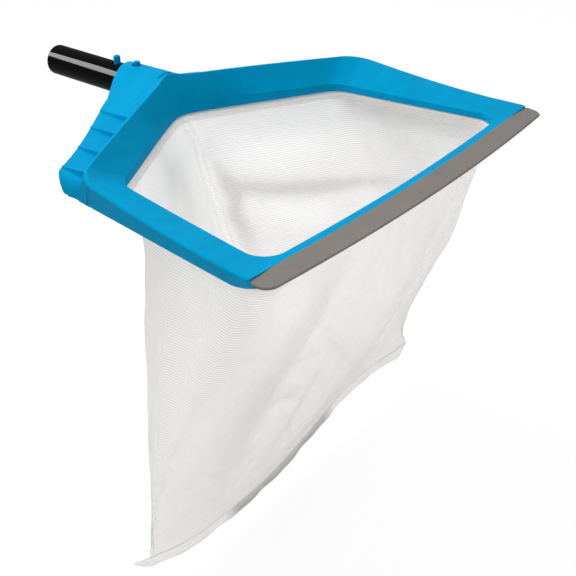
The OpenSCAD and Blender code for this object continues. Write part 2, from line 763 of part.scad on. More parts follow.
module hem_cord() {
    sides = 8;
    u = rim_wall + 0.5 + cord_d / 2;
    z = cord_d / 2 + touch;
    function ring_at(i, s) = [for (k = [0:sides - 1])
        let (a = -360 * (k + 0.5) / sides, p = off(i, u + cord_d / 2 * cos(a)))
        [s * p[0], p[1], z + cord_d / 2 * sin(a)]];
    color(net_white) at_mouth() loop_solid(concat(
        [for (i = plain) ring_at(i, 1)],
        [for (k = [len(plain) - 2:-1:1]) ring_at(plain[k], -1)]
    ));
}

module back_seam_tape() {
    half = 5;
    tape_t = 0.8;
    lift = 1.4;            // from the panel's middle to the tape, because the panels meet in a V
    stop = 0.96;           // the tape's lower end, as a share of the panel
    y0 = off(0, bag_out - net_t)[1] + lift + touch;
    clear = 0.3;           // the tape's gap to the panels at its lower end
    y1 = mid(y0, seam_y, stop) + clear;
    at = concat([for (v = levels) if (v < stop) v], [stop]);
    function edge(v, t) = [mid(y0, y1, v / stop) + back_lean * hang(v) + t, mid(bag_top, bag_low, v)];
    n = len(at);
    color(net_white) at_mouth() translate([-half, 0, 0]) rotate([90, 0, 90]) linear_extrude(2 * half) polygon(concat(
        [for (v = at) edge(v, 0)],
        [for (k = [n - 1:-1:0]) edge(at[k], tape_t)]
    ));
}

module bottom_seam_tape() {
    tape_h = 8;
    half = side_foot + net_t;
    color(net_white) at_mouth() translate([-half, seam_y - net_t - 0.4, bag_low - tape_h - touch])
        cube([2 * half, 2 * net_t + 0.8, tape_h]);
}

rim_frame();
scraper_lip();
clamp_ring();
ring_screws();
handle_tube();
clip_bend();
top_button_arm();
bottom_button_arm();
bag_front();
bag_left_side();
bag_right_side();
bag_back_left();
bag_back_right();
bag_hem();
hem_cord();
back_seam_tape();
bottom_seam_tape();
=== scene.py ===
import math

import bmesh
import bpy
import mathutils
import numpy as np
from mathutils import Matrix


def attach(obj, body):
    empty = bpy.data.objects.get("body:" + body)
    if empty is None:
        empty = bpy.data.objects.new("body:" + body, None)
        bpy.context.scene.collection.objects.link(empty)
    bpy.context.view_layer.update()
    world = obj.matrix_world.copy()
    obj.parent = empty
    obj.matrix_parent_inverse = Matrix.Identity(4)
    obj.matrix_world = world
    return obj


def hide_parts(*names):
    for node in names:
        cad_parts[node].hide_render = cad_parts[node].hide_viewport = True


bl_info = {
    "name": "Leaf Skimmer Net",
    "version": (1, 0, 0),
    "blender": (4, 5, 0),
    "location": "View3D > Sidebar > Leaf Net",
    "description": "Dresses the leaf skimmer net's frame with cloth, seams and finishes",
    "category": "Object",
}

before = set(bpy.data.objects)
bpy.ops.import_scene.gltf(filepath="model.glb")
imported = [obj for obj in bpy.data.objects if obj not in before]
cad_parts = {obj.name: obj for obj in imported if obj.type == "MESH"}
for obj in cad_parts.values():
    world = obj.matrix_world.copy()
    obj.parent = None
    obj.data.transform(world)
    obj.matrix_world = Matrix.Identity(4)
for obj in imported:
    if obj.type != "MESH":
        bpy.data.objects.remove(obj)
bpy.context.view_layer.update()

MM = 0.001
# The mouth's back point in the row frame, in mm: shapes below are built around it, in millimetres
MOUTH = np.array([0.0, 159.9, -18.0])
HEAD = "net_head"
WHITE = (1, 1, 1, 1)


def srgb(r, g, b):
    """An 8-bit screen colour as the linear numbers that a shader takes."""
    c = np.array([r, g, b]) / 255
    c = np.where(c <= 0.04045, c / 12.92, ((c + 0.055) / 1.055) ** 2.4)
    return tuple(float(x) for x in c)


# ---------------------------------------------------------------- sizes and colours
class LeafNetBag(bpy.types.PropertyGroup):
    """How the net bag hangs."""

    depth: bpy.props.FloatProperty(
        name="Depth", description="From the net's edge down to the bottom stitching",
        default=0.305, min=0.2, max=0.4, unit="LENGTH")
    seam_width: bpy.props.FloatProperty(
        name="Bottom seam", description="Length of the bottom seam from tip to tip",
        default=0.436, min=0.3, max=0.45, unit="LENGTH")
    seam_sag: bpy.props.FloatProperty(
        name="Seam sag", description="Lowest point of the bottom seam under its tips",
        default=0.0235, min=0.0, max=0.03, unit="LENGTH")
    fin: bpy.props.FloatProperty(
        name="Fin", description="Height of the two layers under the bottom stitching",
        default=0.011, min=0.004, max=0.016, unit="LENGTH")
    fold: bpy.props.FloatProperty(
        name="Fold depth", description="Strength of the hanging folds, 0 for a smooth bag",
        default=1.6, min=0.0, max=3.0, subtype="FACTOR")
    row_pitch: bpy.props.FloatProperty(
        name="Row pitch", description="Distance between the knit's rows",
        default=0.0023, min=0.001, max=0.004, unit="LENGTH", precision=4)
    wale_pitch: bpy.props.FloatProperty(
        name="Wale pitch", description="Distance between the knit's upright chains",
        default=0.0016, min=0.0008, max=0.004, unit="LENGTH", precision=4)


class LeafNetColours(bpy.types.PropertyGroup):
    """Colours of the finishes."""

    plastic: bpy.props.FloatVectorProperty(
        name="Frame", description="Moulded frame and clamp ring", subtype="COLOR",
        size=3, min=0, max=1, default=srgb(0, 153, 203))
    clip: bpy.props.FloatVectorProperty(
        name="Clip", description="Snap clip and its buttons", subtype="COLOR",
        size=3, min=0, max=1, default=srgb(0, 140, 190))
    lip: bpy.props.FloatVectorProperty(
        name="Lip", description="Soft scraper lip", subtype="COLOR",
        size=3, min=0, max=1, default=srgb(135, 129, 123))
    tube: bpy.props.FloatVectorProperty(
        name="Tube", description="Coated tube stub", subtype="COLOR",
        size=3, min=0, max=1, default=srgb(9, 8, 9))
    cloth: bpy.props.FloatVectorProperty(
        name="Net", description="Knitted net cloth", subtype="COLOR",
        size=3, min=0, max=1, default=srgb(253.5, 251.2, 248.5))
    hem: bpy.props.FloatVectorProperty(
        name="Hem", description="Hem, tapes and cord", subtype="COLOR",
        size=3, min=0, max=1, default=srgb(252, 251, 248))
    screw: bpy.props.FloatVectorProperty(
        name="Screws", description="Steel screws", subtype="COLOR",
        size=3, min=0, max=1, default=srgb(196, 198, 202))


class LeafNetFinish(bpy.types.PropertyGroup):
    """Shading of the moulded pieces."""

    smooth_angle: bpy.props.FloatProperty(
        name="Smooth angle", description="Faces that meet flatter than this shade as one",
        default=math.radians(26), min=0.1, max=1.2, subtype="ANGLE")


def bag():
    """The net bag's sizes."""
    return bpy.context.scene.leafnet_bag


def colours():
    """The finishes' colours."""
    return bpy.context.scene.leafnet_colours


def finish():
    """The moulded pieces' shading."""
    return bpy.context.scene.leafnet_finish


# ---------------------------------------------------------------- mesh helpers
def surface(name, grid, uv, paint, round_rows=False):
    """An object on the net's head from a grid of points in mm around the mouth's back point.

    The grid's columns close into a ring, and its rows too if asked. uv, in metres, becomes the Cloth map, and
    has one more row or column than the grid where the grid closes."""
    rows, cols = grid.shape[:2]
    i, j = np.meshgrid(np.arange(rows if round_rows else rows - 1), np.arange(cols), indexing="ij")
    i, j = i.ravel(), j.ravel()
    corner_rows = np.stack([i, i + 1, i + 1, i], 1)
    corner_cols = np.stack([j, j, j + 1, j + 1], 1)
    faces = (corner_rows % rows) * cols + corner_cols % cols
    mesh = bpy.data.meshes.new(name)
    mesh.from_pydata((grid.reshape(-1, 3) + MOUTH) * MM, [], faces)
    mesh.polygons.foreach_set("use_smooth", np.ones(len(mesh.polygons), bool))
    layer = mesh.uv_layers.new(name="Cloth")
    layer.data.foreach_set("uv", uv[corner_rows, corner_cols].astype(np.float32).ravel())
    mesh.validate()
    mesh.update()
    thing = bpy.data.objects.new(name, mesh)
    bpy.context.scene.collection.objects.link(thing)
    mesh.materials.append(paint)
    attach(thing, HEAD)
    return thing


def smooth_curve(x, xs, ys):
    """Cubic pieces through the knots (xs, ys), each knot's slope being that between its neighbours.

    ys may have further axes."""
    xs, ys = np.asarray(xs, float), np.asarray(ys, float)
    slope = np.gradient(ys, xs, axis=0)
    k = np.clip(np.searchsorted(xs, x, side="right") - 1, 0, len(xs) - 2)
    wide = (slice(None),) + (None,) * (ys.ndim - 1)
    h = (xs[k + 1] - xs[k])[wide]
    t = (np.asarray(x) - xs[k])[wide] / h
    return ((2 * t**3 - 3 * t**2 + 1) * ys[k] + (t**3 - 2 * t**2 + t) * h * slope[k]
            + (3 * t**2 - 2 * t**3) * ys[k + 1] + (t**3 - t**2) * h * slope[k + 1])


def outward(grid):
    """Unit normals of a ring-shaped grid: the central difference round it crossed with the one down it."""
    down = np.gradient(grid, axis=0)
    along = (np.roll(grid, -1, 1) - np.roll(grid, 1, 1)) / 2
    n = np.cross(along, down)
    return n / np.maximum(np.linalg.norm(n, axis=2, keepdims=True), 1e-9)


def run_of(path):
    """Length along a polyline from its first point to each of its points."""
    return np.concatenate([[0], np.cumsum(np.linalg.norm(np.diff(path, axis=0), axis=1))])


def cloth_map(first, second):
    """A Cloth map in metres from two arrays in mm that broadcast to a grid."""
    return np.stack(np.broadcast_arrays(first, second), 2) * MM


def power(x, k):
    """x to the power k, with the sign of x."""
    return np.sign(x) * np.abs(x) ** k


# ---------------------------------------------------------------- the mouth's loop
# In plan, in mm from the mouth's back point: the front's middle and bow, the two corners and their radii
FRONT_Y, FRONT_X, BOW_R = 245.0, 164.5, 2400.0
BACK_CORNER = np.array([141.0, 77.5])
FRONT_CORNER = np.array([FRONT_X, FRONT_Y - FRONT_X**2 / (2 * BOW_R)])
MOUTH_ROUND, BACK_R, FRONT_R = 10.0, 25.0, 18.0


def ray_of(a):
    """The unit vector with heading a."""
    return np.stack([np.cos(a), np.sin(a)], -1)


def right_of(a):
    """The unit vector to the right of heading a."""
    return np.stack([np.sin(a), -np.cos(a)], -1)


def rounded(p, h0, h1, r, n):
    """The arc of radius r that rounds corner p between the headings h0 and h1."""
    centre = p - r * np.tan((h1 - h0) / 2) * ray_of(np.array(h0)) - r * right_of(np.array(h0))
    return centre + r * right_of(np.linspace(h0, h1, n + 1))


def mouth_half():
    """Half of the mouth's edge, from its back point to the middle of its front.

    It is a back line y = slope * sqrt(x^2 + round^2), an arc, a straight arm, an arc and a bowed front."""
    slope = BACK_CORNER[1] / BACK_CORNER[0]
    h0, h1 = np.arctan(slope), np.arctan2(*(FRONT_CORNER - BACK_CORNER)[::-1])
    arc_steps, arm_steps, line_steps = 40, 80, 120
    back_arc = rounded(BACK_CORNER, h0, h1, BACK_R, arc_steps)
    front_arc = rounded(FRONT_CORNER, h1, np.pi, FRONT_R, arc_steps)
    front_arc[:, 1] += (FRONT_CORNER[0] ** 2 - front_arc[:, 0] ** 2) / (2 * BOW_R)
    x = np.linspace(0, back_arc[0, 0], line_steps)[:-1]
    back = np.stack([x, slope * np.hypot(x, MOUTH_ROUND)], 1)
    t = np.linspace(0, 1, arm_steps)[1:-1, None]
    arm = back_arc[-1] * (1 - t) + front_arc[0] * t
    x = np.linspace(front_arc[-1, 0], 0, line_steps)[1:]
    front = np.stack([x, FRONT_Y - x**2 / (2 * BOW_R)], 1)
    return np.concatenate([back, back_arc, arm, front_arc, front])


def evenly(p, n):
    """n points at equal steps along polyline p, and its length."""
    s = run_of(p)
    t = np.linspace(0, s[-1], n)
    return np.stack([np.interp(t, s, p[:, k]) for k in range(p.shape[1])], 1), s[-1]


def mouth_loop(n_half, out=0.0):
    """The mouth's whole edge in plan, moved outwards, as 2 * n_half - 2 points, and the edge's length."""
    half, length = evenly(mouth_half(), n_half)
    whole = np.concatenate([half, (half * [-1, 1])[-2:0:-1]])
    step = np.roll(whole, -1, 0) - np.roll(whole, 1, 0)
    side = np.stack([step[:, 1], -step[:, 0]], 1)
    return whole + out * side / np.linalg.norm(side, axis=1, keepdims=True), 2 * length


# ---------------------------------------------------------------- the hanging bag
# The mouth's corners as shares of its half loop, which the seam's tips hang from
BACK_CORNER_AT, FRONT_CORNER_AT = 0.335, 0.665
# How far the seam's ends reach under the near corner and the far one, as shares of its half length
NEAR_REACH, FAR_REACH = 0.92, 0.985
# Shares of the way down the cloth at which the guide lines are given
DROPS = np.array([0.0, 0.05, 0.12, 0.21, 0.32, 0.45, 0.60, 0.75, 0.88, 0.96, 0.985, 1.0])
STRAIGHT = np.zeros(len(DROPS))


def lean(dx=STRAIGHT, dy=STRAIGHT):
    """How far a guide line hangs off the straight one along X and Y, in mm, at each of the drops."""
    return np.stack([np.array(dx, float), np.array(dy, float), STRAIGHT], 1)


# Guide lines round the loop from its back point round +X: share of the whole loop, and the line's lean
GUIDES = [
    (0.0, lean(dy=[0, 9, 7, 8, 8, 8, 8, 6, 3, 1, 0, 0])),
    (0.08, lean(dy=[0, 8, 9, 10, 12, 14, 14, 10, 5, 2, 1, 0])),
    (0.1675, lean([0, -2.3, -2.2, -1, 1.7, 3.6, 4.8, 5, 2.8, -0.5, -1, 0],
                  [0, 7, 11, 12, 12, 12, 12, 11, 8, 4, 2, 0])),
    (0.25, lean([0, -3.3, -3.2, -2, -0.3, 1.6, 4, 5.6, 3.4, 0.5, 0, 0])),
    (0.3325, lean([0, -1.3, -1.2, 0, 3.7, 8.0, 11, 9, 4.5, 0.5, 0, 0],
                  [0, 3, 4, 4, 2, -3, -5, -6, -5, -3, -2, 0])),
    (0.415, lean(dy=[0, 1, 2, 3, 4, 5, 6, 6, 4, 2, 1, 0])),
    (0.5, lean(dy=[0, 0, 1, 2, 3, 4, 4, 4, 2, 1, 0, 0])),
    (0.585, lean(dy=[0, 1, 2, 3, 3, 3, 2, 1, 0, 0, 0, 0])),
    (0.6675, lean([0, 1, 2, 4, 5, 3, -1, 0, 6, 5, 2, 0], [0, 2, 3, 5, 6, 5, -2, -8, -8, -5, -3, 0])),
    (0.75, lean([0, -3, -4, -4, -4, -5, -4, 1, 8, 6, 2, 0])),
    (0.8325, lean([0, 0, 0, 0, 0, -1, -1, 1, 7, 6, 2, 0], [0, 5, 8, 10, 10, 10, 8, 6, 4, 2, 1, 0])),
    (0.92, lean(dy=[0, 8, 11, 15, 22, 24, 20, 12, 6, 2, 1, 0])),
]
# The bottom seam from its -X tip to its +X tip: how low it hangs, as a share of its sag, and how far forward
SEAM_T = np.array([0, 0.06, 0.12, 0.24, 0.36, 0.48, 0.60, 0.72, 0.84, 0.90, 0.96, 1.0])
SEAM_LOW = np.array([0.36, 0.34, 0.24, 0.14, 0.40, 0.78, 0.98, 1.0, 0.88, 0.70, 0.40, 0.14])
SEAM_FORWARD = np.array([0, 0, -1, -1, 1, 4, 7, 8, 7, 5, 2, 0.0])
SEAM_Y, EDGE_Z = 133.0, -0.8
# Columns in half the loop, rows down the cloth, and the longest way down it, in metres
BAG_COLS, BAG_ROWS, BAG_CUT = 241, 190, 0.34
# How far the cloth's edge lies inside the frame's wall, and its two sides beside the seam's middle, in mm
EDGE_IN, SEAM_HALF = 1.0, 0.5
# Shares of the drop over which the folds fade at the mouth and at the seam, and the ripples' strength
TOP_HOLD, FOOT_HOLD, SLACK = 0.07, 0.06, 0.7

# Points that a fold runs through: share of the whole loop and share of the drop
VALLEY = [(0.425, 0.08), (0.423, 0.19), (0.410, 0.30), (0.396, 0.38), (0.386, 0.45), (0.383, 0.60),
          (0.381, 0.80)]
FAR_CREASE = [(0.640, 0.10), (0.634, 0.30), (0.631, 0.556), (0.627, 0.709), (0.617, 0.836), (0.600, 0.90)]
FAR_HOLLOW = [(0.612, 0.10), (0.606, 0.376), (0.600, 0.571), (0.603, 0.794)]
LONG_PLEAT = [(0.431, 0.323), (0.485, 0.508), (0.556, 0.783)]
# Puffs of cloth between the front panel's pleats: points, half width in mm and share of the full height
PILLOWS = [
    ([(0.358, 0.145), (0.392, 0.235)], 17, 1.0), ([(0.420, 0.34), (0.446, 0.405)], 12, 0.9),
    ([(0.428, 0.445), (0.446, 0.49)], 8, 0.6), ([(0.418, 0.485), (0.432, 0.515)], 8, 0.6),
    ([(0.404, 0.565), (0.430, 0.635)], 12, 0.8), ([(0.397, 0.64), (0.415, 0.68)], 9, 0.6),
    ([(0.450, 0.20), (0.475, 0.32)], 18, 0.6),
]
# Folds: points, half width in mm and height outwards in mm
FOLDS = [
    (VALLEY, 18, -3.8),
    *[(points, wide, 2.6 * high) for points, wide, high in PILLOWS],
    # pleats that fan out over the front panel's foot
    (LONG_PLEAT, 6, -1.3),
    ([(0.446, 0.54), (0.476, 0.64), (0.502, 0.75)], 6, -1.2),
    ([(0.432, 0.66), (0.448, 0.75), (0.458, 0.84)], 6, -1.0),
    ([(0.52, 0.80), (0.48, 0.84), (0.44, 0.88)], 10, -1.4),
    # ridge where the front panel turns to the near side
    ([(0.329, 0.05), (0.333, 0.35), (0.334, 0.52), (0.340, 0.77), (0.336, 0.93)], 14, 1.6),
    # crease beside the far corner
    (FAR_CREASE, 4.5, 1.6),
    (FAR_HOLLOW, 8, -1.8),
    ([(0.655, 0.30), (0.640, 0.55), (0.632, 0.80)], 9, -1.6),
    # back panel: an upright fold beside the seam and a level one under the mouth
    ([(0.990, 0.15), (0.984, 0.28), (0.976, 0.40), (0.968, 0.6)], 9, 4.0),
    ([(0.976, 0.16), (0.966, 0.26), (0.955, 0.38)], 9, -2.6),
    ([(0.975, 0.10), (0.90, 0.10), (0.80, 0.13)], 16, -2.0),
    ([(0.97, 0.21), (0.955, 0.225), (0.92, 0.255), (0.87, 0.275), (0.79, 0.29)], 13, 4.0),
    ([(0.97, 0.36), (0.93, 0.38), (0.88, 0.42)], 14, -3.0),
    ([(0.02, 0.20), (0.035, 0.33), (0.045, 0.5)], 9, 2.2),
    ([(0.06, 0.08), (0.09, 0.20), (0.11, 0.40)], 10, -2.0),
    ([(0.125, 0.05), (0.13, 0.22), (0.14, 0.45), (0.15, 0.7)], 10, 2.0),
    # side panels: slack cloth between the corners
    ([(0.22, 0.08), (0.235, 0.35), (0.25, 0.65)], 14, -2.5),
    ([(0.28, 0.10), (0.275, 0.40), (0.27, 0.70)], 12, 2.0),
    ([(0.74, 0.08), (0.75, 0.35), (0.75, 0.65)], 14, -2.5),
    # little pulls beside the tips
    ([(0.30, 0.86), (0.345, 0.93), (0.375, 0.985)], 3.5, 1.6),
    ([(0.35, 0.84), (0.362, 0.92), (0.372, 0.99)], 3.0, -1.6),
    ([(0.70, 0.85), (0.655, 0.92), (0.63, 0.985)], 3.5, 1.6),
]
# Painted light and shade on the knit, partly real pulls and bunching: where it is drawn open it lets more
# light through and looks lighter, and where it is bunched it is denser and its colour darker, placed to paint
# the light and dark patches of the folds; points, half width in mm, and the change of how open it is
PULLS_AND_PAINTED_SHADE = [
    # near side panel, and the front panel's valley, pillows and foot
    ([(0.27, -0.1), (0.27, 0.92)], 75, 0.12),
    ([(0.29, -0.3), (0.285, 0.62)], 60, 0.22),
    (VALLEY, 19, -0.34),
    *[(points, wide, 0.30 * high) for points, wide, high in PILLOWS],
    ([(0.41, 0.40), (0.46, 0.46)], 5, -0.25),
    ([(0.40, 0.52), (0.445, 0.58)], 5, -0.25),
    ([(0.475, 0.49), (0.458, 0.60), (0.44, 0.72), (0.425, 0.80)], 9, -0.2),
    (LONG_PLEAT, 5, -0.2),
    ([(0.60, 0.80), (0.575, 0.88), (0.533, 0.90), (0.50, 0.92), (0.45, 0.94), (0.40, 0.95)], 34, -0.26),
    # creases beside the far corner
    (FAR_CREASE, 5, 0.40),
    (FAR_HOLLOW, 8, -0.16),
    # cloth over the seam under the tape, the valley beside it and the level one
    ([(0.0, -0.1), (0.0, 1.1)], 6.5, 0.45),
    ([(0.990, 0.10), (0.983, 0.185), (0.981, 0.23), (0.987, 0.28), (0.984, 0.33), (0.980, 0.42)], 10, -0.42),
    ([(0.985, 0.195), (0.971, 0.212), (0.948, 0.233), (0.915, 0.259), (0.875, 0.28), (0.833, 0.30),
      (0.77, 0.285)], 9, -0.42),
    ([(0.976, 0.10), (0.94, 0.125), (0.905, 0.14), (0.86, 0.17)], 20, 0.24),
    ([(0.962, 0.27), (0.93, 0.335), (0.89, 0.345)], 14, 0.24),
    ([(0.80, -0.1), (0.77, 0.10), (0.74, 0.35)], 36, -0.10),
    ([(1.0, 0.01), (0.80, 0.02)], 8, -0.16),
    ([(0.09, -0.1), (0.06, 0.10), (0.05, 0.30)], 28, -0.22),
    # tips
    ([(0.25, 0.84), (0.25, 1.06)], 34, 0.16),
    ([(0.75, 0.88), (0.75, 1.06)], 20, -0.2),
]


def line_gap(s, t, pts):
    """Least distance of each (s, t) to the polyline pts, and 0 to 1 along it."""
    best, where = np.full(s.shape, 1e9), np.zeros(s.shape)
    for k, ((s0, t0), (s1, t1)) in enumerate(zip(pts[:-1], pts[1:])):
        ds, dt = s1 - s0, t1 - t0
        w = np.clip(((s - s0) * ds + (t - t0) * dt) / (ds * ds + dt * dt), 0, 1)
        gap = np.hypot(s - s0 - w * ds, t - t0 - w * dt)
        where = np.where(gap < best, (k + w) / (len(pts) - 1), where)
        best = np.minimum(best, gap)
    return best, where


def along_lines(s, t, loop, lines):
    """Sum of soft swells at (s, t) in mm: each is bell shaped across its line and fades at its ends."""
    total = np.zeros(s.shape)
    for points, wide, high in lines:
        for shift in (0, loop, -loop):
            gap, along = line_gap(s, t, [(a * loop + shift, b * bag().depth / MM) for a, b in points])
            ends = np.sin(np.pi * np.clip(along, 0.04, 0.96)) ** 0.5
            total = total + high * ends * np.exp(-0.5 * (gap / wide * 1.6) ** 2)
    return total


def ripples(s, t):
    """Slack in the cloth: a sum of sines, each with its lengths round and down, its phase and its height."""
    waves = [(61, 90, 0.3, 0.55), (-38, 120, 1.7, 0.4), (23, 47, 2.9, 0.28), (-17, 31, 0.8, 0.18),
             (11, 25, 4.1, 0.11)]
    return sum(a * np.sin(2 * np.pi * (s / ws + t / wt) + p) for ws, wt, p, a in waves)


def seam_line(t):
    """The bottom stitching at t, 0 at its -X tip and 1 at its +X tip."""
    b = bag()
    return np.stack([(t - 0.5) * b.seam_width / MM,
                     SEAM_Y + smooth_curve(t, SEAM_T, SEAM_FORWARD),
                     -b.depth / MM - b.seam_sag / MM * smooth_curve(t, SEAM_T, SEAM_LOW)], -1)


def bag_grid(n_half, n_down):
    """The bag's surface, its loop's length, and the distances s round the loop and t down it at each point.

    Columns go from the back point round +X, and rows down straight lines from the mouth to the bottom seam.
    The guide lines lean these over, and the folds are pushed out along the normal."""
    half, length = evenly(mouth_half(), n_half)
    u, v = np.linspace(0, 1, n_half), np.linspace(0, 1, n_down)
    past_front = (1 - u) / (1 - FRONT_CORNER_AT)
    reach = np.where(u < BACK_CORNER_AT, u / BACK_CORNER_AT, np.where(u < FRONT_CORNER_AT, 1.0, past_front))
    sides = []
    for side, share in ((1, NEAR_REACH), (-1, FAR_REACH)):
        across = half[:, 0] - EDGE_IN * (half[:, 0] > EDGE_IN)
        top = np.stack([side * across, half[:, 1], np.full(n_half, EDGE_Z)], 1)
        foot = seam_line(0.5 + side * reach / 2 * share)
        foot[:, 1] += SEAM_HALF * np.sign(u - 0.5) * (1 - reach**6)
        sides.append(top + (foot - top) * v[:, None, None])
    grid = np.concatenate([sides[0], sides[1][:, -2:0:-1]], 1)
    share = np.arange(grid.shape[1]) / grid.shape[1]
    knots = np.array([g[0] for g in GUIDES])
    hung = np.stack([smooth_curve(v, DROPS, g[1]) for g in GUIDES], 0)
    knots = np.concatenate([knots[-2:] - 1, knots, knots[:2] + 1])
    hung = np.concatenate([hung[-2:], hung, hung[:2]])
    grid = grid + np.moveaxis(smooth_curve(share, knots, hung), 0, 1)
    s = np.broadcast_to(share * 2 * length, grid.shape[:2])
    t = np.broadcast_to((v * bag().depth / MM)[:, None], grid.shape[:2])
    hold = np.clip(v / TOP_HOLD, 0, 1)[:, None] * np.clip((1 - v) / FOOT_HOLD, 0, 1)[:, None]
    hold = hold * hold * (3 - 2 * hold)
    push = bag().fold * along_lines(s, t, 2 * length, FOLDS) + SLACK * ripples(s, t)
    return grid + outward(grid) * (push * hold)[..., None], 2 * length, s, t


def drop_lengths(grid):
    """Length down the cloth to each point, smoothed round the loop, with the first column once more."""
    step = np.linalg.norm(np.diff(grid, axis=0), axis=2)
    down = np.concatenate([np.zeros((1, grid.shape[1])), np.cumsum(step, axis=0)])
    reach = 20  # columns on either side
    kernel = np.hanning(2 * reach + 1)
    kernel /= kernel.sum()
    around = np.concatenate([down[:, -reach:], down, down[:, :reach]], 1)
    down = np.stack([np.convolve(row, kernel, "valid") for row in around])
    return np.concatenate([down, down[:, :1]], 1)


def round_lengths(grid):
    """Length round the bag in each row, from the back point to +X and to -X, with the first column again."""
    cols = grid.shape[1]
    round_row = np.concatenate([grid, grid[:, :1]], 1)
    step = np.linalg.norm(np.diff(round_row, axis=1), axis=2)
    run = np.concatenate([np.zeros((len(grid), 1)), np.cumsum(step, axis=1)], 1)
    return np.where(np.arange(cols + 1) <= cols // 2, run, run - run[:, -1:])


# ---------------------------------------------------------------- materials
# The knit: how far its rows drift and its chains zigzag, in radians, how much its holes differ and how open
# it can get at most; then how much less hole and glow it has where it is held double, and its glow elsewhere
KNIT_DRIFT, KNIT_ZIGZAG, KNIT_CONTRAST, KNIT_OPEN = 9.0, 1.2, 0.26, 0.97
DOUBLE_CLOSES, DOUBLE_DULLS, KNIT_GLOW = -0.9, -0.6, 0.6
# The seam tape's width and the pitch of its weave: mm and metres
TAPE_WIDE, TAPE_PITCH = 10.0, 0.0007


class Nodes:
    """Short calls that build a material's or a world's nodes: each returns an output for the next to take."""

    def __init__(self, owner, output="ShaderNodeOutputMaterial"):
        self.owner = owner
        owner.use_nodes = True
        self.tree = owner.node_tree
        self.tree.nodes.clear()
        self.out = self.tree.nodes.new(output)

    def add(self, kind, inputs=(), result=0, **settings):
        """Any node: its inputs by name or number, which output is wanted, and its settings."""
        node = self.tree.nodes.new("ShaderNode" + kind)
        for key, value in settings.items():
            setattr(node, key, value)
        for key, value in dict(inputs).items():
            if isinstance(value, bpy.types.NodeSocket):
                self.tree.links.new(value, node.inputs[key])
            else:
                node.inputs[key].default_value = value
        return node.outputs[result]

    def place(self, scale=(1, 1, 1)):
        """Object coordinates, in metres, stretched by scale."""
        return self.add("Mapping", {0: self.add("TexCoord", result="Object"), 3: scale})

    def on_cloth(self):
        """The Cloth map, and its distances across and down the cloth, in metres."""
        cloth = self.add("UVMap", uv_map="Cloth")
        across = self.add("SeparateXYZ", {0: cloth})
        return cloth, across, across.node.outputs["Y"]

    def math(self, op, a, b=0.0, c=0.0):
        return self.add("Math", {0: a, 1: b, 2: c}, operation=op)

    def wave(self, at):
        """0 to 1 and back, once for every turn of at."""
        return self.math("MULTIPLY_ADD", self.math("SINE", at), 0.5, 0.5)

    def noise(self, where, scale, detail, rough):
        return self.add("TexNoise", {"Vector": where, "Scale": scale, "Detail": detail, "Roughness": rough})

    def span(self, value, lo, hi, to_lo, to_hi, **settings):
        """The value's range lo to hi carried over to the range to_lo to to_hi, and held at its ends."""
        return self.add("MapRange", {0: value, 1: lo, 2: hi, 3: to_lo, 4: to_hi}, **settings)

    def ramp(self, value, stops):
        """A colour ramp through (position, colour) stops."""
        node = self.tree.nodes.new("ShaderNodeValToRGB")
        self.tree.links.new(value, node.inputs[0])
        keys = node.color_ramp.elements
        while len(keys) < len(stops):
            keys.new(0.5)
        for key, (at, colour) in zip(keys, stops):
            key.position = at
            key.color = (*colour, 1)
        return node.outputs[0]

    def bump(self, height, strength, distance, under=None):
        """A bump, over the one under it."""
        more = {} if under is None else {"Normal": under}
        return self.add("Bump", {"Height": height, "Strength": strength, "Distance": distance, **more})

    def porous(self, hole, share, base, bump, rough, sheen):
        """Yarn of which a share glows with the light behind it, with clear holes in it."""
        yarn = self.add("BsdfPrincipled", {
            "Base Color": base, "Roughness": rough, "Sheen Weight": sheen, "Specular IOR Level": 0.3,
            "Normal": bump})
        glow = self.add("BsdfTranslucent", {"Color": base, "Normal": bump})
        solid = self.add("MixShader", {0: share, 1: yarn, 2: glow})
        clear = self.add("BsdfTransparent", {"Color": WHITE})
        return self.done(self.add("MixShader", {0: hole, 1: solid, 2: clear}))

    def done(self, shader):
        self.tree.links.new(shader, self.out.inputs[0])
        return self.owner


def material(name):
    """The nodes of a new material."""
    return Nodes(bpy.data.materials.new(name))


def shade(colour, k):
    """The colour, k times as bright."""
    return tuple(min(1.0, c * k) for c in colour)


def moulded(name, colour, rough=0.4):
    """Satin moulded plastic: faint flow marks in its colour, fine grain in its bump and patchy gloss."""
    n = material(name)
    flow = n.noise(n.place((18, 60, 18)), 1.0, 4.0, 0.55)
    grain = n.noise(n.place(), 2600.0, 2.0, 0.6)
    scuff = n.noise(n.place((90, 900, 90)), 1.0, 3.0, 0.7)
    base = n.ramp(flow, [(0.3, shade(colour, 0.93)), (0.5, colour), (0.72, shade(colour, 1.06))])
    bump = n.bump(scuff, 0.05, 0.0002, n.bump(grain, 0.16, 0.00012))
    return n.done(n.add("BsdfPrincipled", {
        "Base Color": base, "Roughness": n.span(scuff, 0.3, 0.75, rough - 0.05, rough + 0.09),
        "IOR": 1.49, "Specular IOR Level": 0.015, "Normal": bump}))


def soft_rubber(name, colour):
    """Matt elastomer: dusty patches, fine pores and faint rub marks along the blade."""
    n = material(name)
    dust = n.noise(n.place((26, 26, 26)), 1.0, 5.0, 0.6)
    pores = n.noise(n.place(), 1500.0, 3.0, 0.65)
    rubs = n.noise(n.place((30, 700, 700)), 1.0, 2.0, 0.5)
    base = n.ramp(dust, [(0.28, shade(colour, 0.92)), (0.52, colour), (0.75, shade(colour, 1.07))])
    bump = n.bump(rubs, 0.05, 0.0002, n.bump(pores, 0.3, 0.00015))
    return n.done(n.add("BsdfPrincipled", {
        "Base Color": base, "Roughness": n.span(rubs, 0.3, 0.7, 0.56, 0.7),
        "IOR": 1.5, "Specular IOR Level": 0.36, "Normal": bump}))


